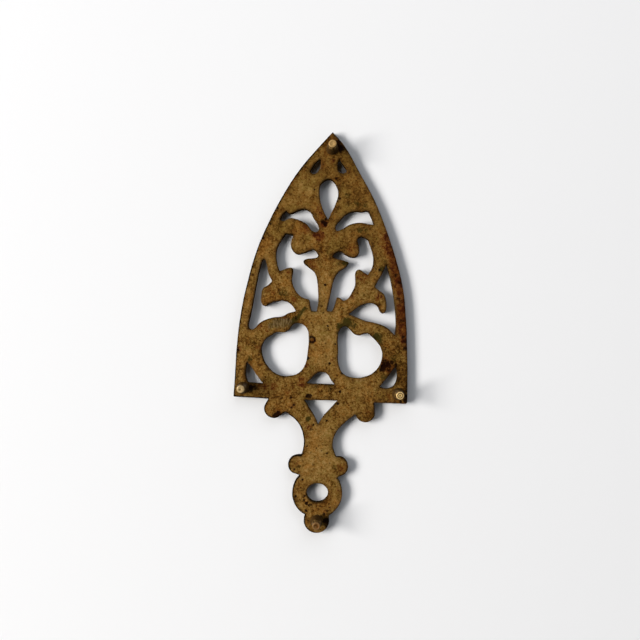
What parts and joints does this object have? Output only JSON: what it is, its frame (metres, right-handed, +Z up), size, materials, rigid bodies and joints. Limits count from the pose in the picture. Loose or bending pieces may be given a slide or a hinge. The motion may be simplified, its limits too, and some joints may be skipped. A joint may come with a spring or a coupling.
{
  "type": "sad iron trivet",
  "caption": "Flat pierced cast stand for a sad iron, pointed like its sole, with a short handle with a hang hole and turned feet riveted through it.",
  "frame": {"origin": "under the middle of the plate's length and width, at the level the feet stand on", "axes": "+Y from the handle to the pointed nose, +Z up from the feet to the face that carries the iron"},
  "size_m": [0.1076, 0.2482, 0.0145],
  "materials": {
    "plate_brass": "aged sand-cast, brown patina",
    "foot_brass": "turned, tips worn brighter"
  },
  "bodies": {
    "root": {"plate": "plate_brass", "nose_foot": "foot_brass", "handle_foot": "foot_brass", "right_rear_foot": "foot_brass", "left_rear_foot": "foot_brass"}
  },
  "joints": []
}
